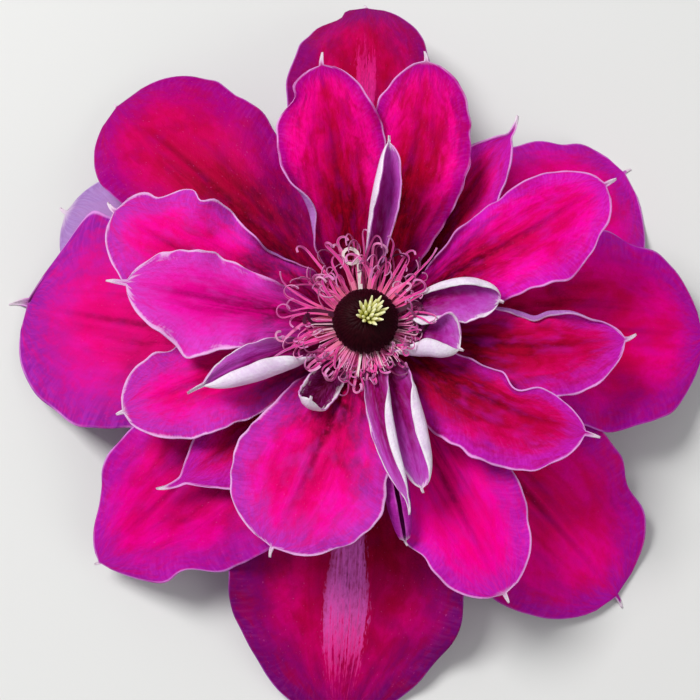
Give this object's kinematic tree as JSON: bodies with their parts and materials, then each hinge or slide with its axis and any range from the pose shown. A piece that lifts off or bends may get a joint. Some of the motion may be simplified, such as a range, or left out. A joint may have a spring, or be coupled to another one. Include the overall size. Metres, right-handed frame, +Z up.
{
  "type": "clematis flower",
  "caption": "Large double clematis flower, crimson and purple, face up, with a dark dome of anthers, picked close beneath its head and resting on its sepal tips.",
  "frame": {"origin": "under the middle of the flower's bounding box, on the surface it rests on", "axes": "+Z up, the way the flower faces; +Y towards the picture's top; +X to its right"},
  "size_m": [0.1486, 0.1542, 0.0458],
  "materials": {
    "sepal": "velvety, matt",
    "faded_sepal": "matt, pale lavender",
    "petal": "velvety, matt, pale thin rim",
    "inner_petal": "velvety, matt, pale back showing",
    "stalk": "fresh green, faintly purple",
    "filament": "matt",
    "anther": "matt, near black",
    "stigma": "matt, cream"
  },
  "bodies": {
    "root": {"sepal_faded": "faded_sepal", "sepal_west": "sepal", "sepal_south": "sepal", "sepal_northeast": "sepal", "sepal_southeast": "sepal", "sepal_northwest": "sepal", "sepal_southwest": "sepal", "sepal_east": "sepal", "sepal_north": "sepal", "petal_northwest_low": "petal", "petal_northeast_low": "petal", "petal_southwest_low": "petal", "petal_southeast_low": "petal", "petal_north_east": "petal", "petal_west_low": "petal", "petal_east": "petal", "petal_south_rolled": "petal", "petal_north": "petal", "petal_northeast": "petal", "petal_southeast": "petal", "petal_south": "petal", "petal_west": "petal", "inner_north": "inner_petal", "inner_east_low": "inner_petal", "inner_south": "inner_petal", "inner_west": "inner_petal", "inner_east_high": "inner_petal", "inner_southeast": "inner_petal", "inner_southwest": "inner_petal", "stalk": "stalk", "filaments": "filament", "anther_dome": "anther", "stigma_tuft": "stigma"}
  },
  "joints": []
}
